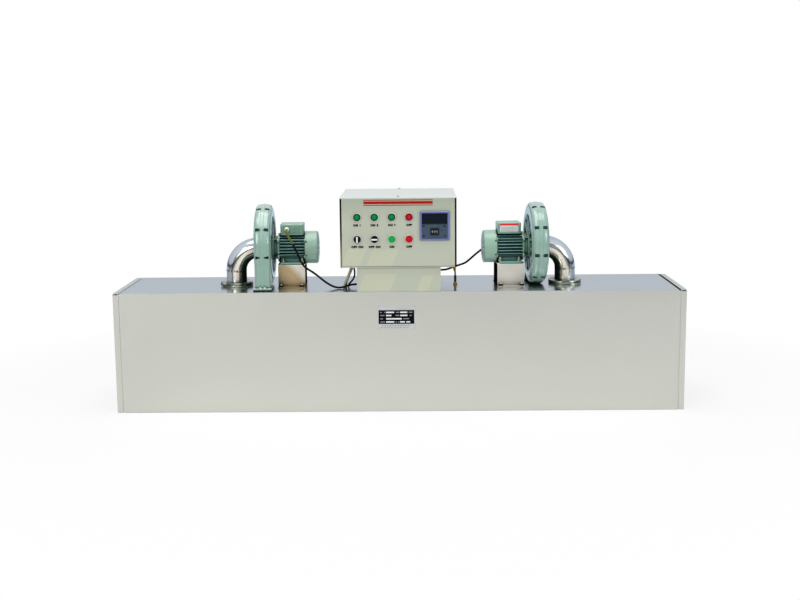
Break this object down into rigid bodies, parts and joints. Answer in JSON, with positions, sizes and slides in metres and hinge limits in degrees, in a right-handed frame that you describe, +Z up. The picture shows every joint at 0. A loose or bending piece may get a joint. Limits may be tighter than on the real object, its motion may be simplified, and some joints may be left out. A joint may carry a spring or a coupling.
{
  "type": "hot air drying tunnel",
  "caption": "Long polished steel drying tunnel with an end-to-end print slot, a recirculating blower at each end of its top and a control cabinet on a pedestal between them.",
  "frame": {"origin": "centre of the tank floor, on the surface it stands on", "axes": "+X along the tank, -Y towards the control panel, +Z up"},
  "size_m": [1.92, 0.424, 0.73],
  "materials": {
    "polished_stainless": "bright polished sheet",
    "elbow_stainless": "mirror-polished tube",
    "zinc_steel": "yellow passivated steel",
    "galvanised": "plain sheet",
    "casing_paint": "pale sea green gloss on cast aluminium",
    "motor_paint": "dark green gloss on cast aluminium",
    "cabinet_paint": "greenish beige powder coat",
    "hood_paint": "light powder coat",
    "cast_alloy": "as cast",
    "steel": "ground",
    "copper_winding": "varnished",
    "black_rubber": "matt",
    "black_plastic": "gloss",
    "light_plastic": "satin",
    "fan_plastic": "matt",
    "green_plastic": "gloss",
    "green_lens": "translucent",
    "red_plastic": "gloss",
    "red_lens": "translucent",
    "bezel_metal": "bright ring",
    "controller_plastic": "satin",
    "window": "dark window",
    "wheel_plastic": "matt",
    "gear_plastic": "matt",
    "plate": "etched",
    "lead_black": "smooth",
    "sleeve": "woven sleeve",
    "probe_sleeve": "braid",
    "brass": "turned"
  },
  "bodies": {
    "dryer_frame": {"blower_bolts": "steel", "cabinet_shell": "cabinet_paint", "cable_glands": "light_plastic", "control_gear": "gear_plastic", "controller_case": "controller_plastic", "controller_window": "window", "device_bezels": "bezel_metal", "end_frame_left": "polished_stainless", "end_frame_right": "polished_stainless", "fan_cowls": "casing_paint", "fascia": "cabinet_paint", "green_lenses": "green_lens", "heater_elements": "steel", "heater_lead_loop": "lead_black", "heater_lead_straight": "lead_black", "heater_sleeve_lead": "sleeve", "hood": "hood_paint", "left_casing_inlet_half": "casing_paint", "left_casing_motor_half": "casing_paint", "left_inlet_elbow": "elbow_stainless", "left_motor_lead": "lead_black", "left_stator_housing": "motor_paint", "motor_bearings": "steel", "motor_brackets": "polished_stainless", "motor_end_shields": "motor_paint", "mounting_screws": "zinc_steel", "nozzle_plate": "galvanised", "pedestal": "cabinet_paint", "pipe_flanges": "polished_stainless", "plenum_box": "galvanised", "probe_fitting": "brass", "probe_lead": "probe_sleeve", "rating_plate": "plate", "red_lens": "red_lens", "right_casing_inlet_half": "casing_paint", "right_casing_motor_half": "casing_paint", "right_inlet_elbow": "elbow_stainless", "right_motor_lead": "lead_black", "right_stator_housing": "motor_paint", "rubber_seals": "black_rubber", "stator_windings": "copper_winding", "tank_base_pan": "galvanised", "tank_front_panel": "polished_stainless", "tank_rear_panel": "polished_stainless", "tank_top_panel": "polished_stainless", "terminal_boxes": "motor_paint", "terminal_lids": "motor_paint"},
    "left_rotor_set": {"left_impeller": "cast_alloy", "left_rotor": "steel", "left_cooling_fan": "fan_plastic"},
    "right_rotor_set": {"right_impeller": "cast_alloy", "right_rotor": "steel", "right_cooling_fan": "fan_plastic"},
    "heat_selector": {"heat_selector": "black_plastic"},
    "fan_selector": {"fan_selector": "black_plastic"},
    "start_button": {"start_button": "green_plastic"},
    "stop_button": {"stop_button": "red_plastic"},
    "number_wheel_hundreds": {"number_wheel_hundreds": "wheel_plastic"},
    "number_wheel_tens": {"number_wheel_tens": "wheel_plastic"},
    "number_wheel_units": {"number_wheel_units": "wheel_plastic"}
  },
  "joints": [
    {"name": "left_blower_spin", "type": "hinge", "parent": "dryer_frame", "child": "left_rotor_set", "pos_m": [-0.464, -0.01, 0.541], "axis": [0.9997, 0.0262, 0], "continuous": true},
    {"name": "right_blower_spin", "type": "hinge", "parent": "dryer_frame", "child": "right_rotor_set", "pos_m": [0.4725, -0.01, 0.541], "axis": [-0.9986, -0.0523, 0], "continuous": true},
    {"name": "heat_selector_turn", "type": "hinge", "parent": "dryer_frame", "child": "heat_selector", "pos_m": [-0.1362, -0.198, 0.588], "axis": [0, 1, 0], "range_deg": [0, 90]},
    {"name": "fan_selector_turn", "type": "hinge", "parent": "dryer_frame", "child": "fan_selector", "pos_m": [-0.0788, -0.198, 0.588], "axis": [0, 1, 0], "range_deg": [-90, 0]},
    {"name": "start_button_press", "type": "slide", "parent": "dryer_frame", "child": "start_button", "axis": [0, 1, 0], "range_m": [0, 0.004], "stiffness_N_per_m": 400, "springref_m": -0.001},
    {"name": "stop_button_press", "type": "slide", "parent": "dryer_frame", "child": "stop_button", "axis": [0, 1, 0], "range_m": [0, 0.004], "stiffness_N_per_m": 400, "springref_m": -0.001},
    {"name": "number_wheel_hundreds_turn", "type": "hinge", "parent": "dryer_frame", "child": "number_wheel_hundreds", "pos_m": [0.1131, -0.1945, 0.6121], "axis": [1, 0, 0], "continuous": true},
    {"name": "number_wheel_tens_turn", "type": "hinge", "parent": "dryer_frame", "child": "number_wheel_tens", "pos_m": [0.1205, -0.1945, 0.6121], "axis": [1, 0, 0], "continuous": true},
    {"name": "number_wheel_units_turn", "type": "hinge", "parent": "dryer_frame", "child": "number_wheel_units", "pos_m": [0.1279, -0.1945, 0.6121], "axis": [1, 0, 0], "continuous": true}
  ]
}
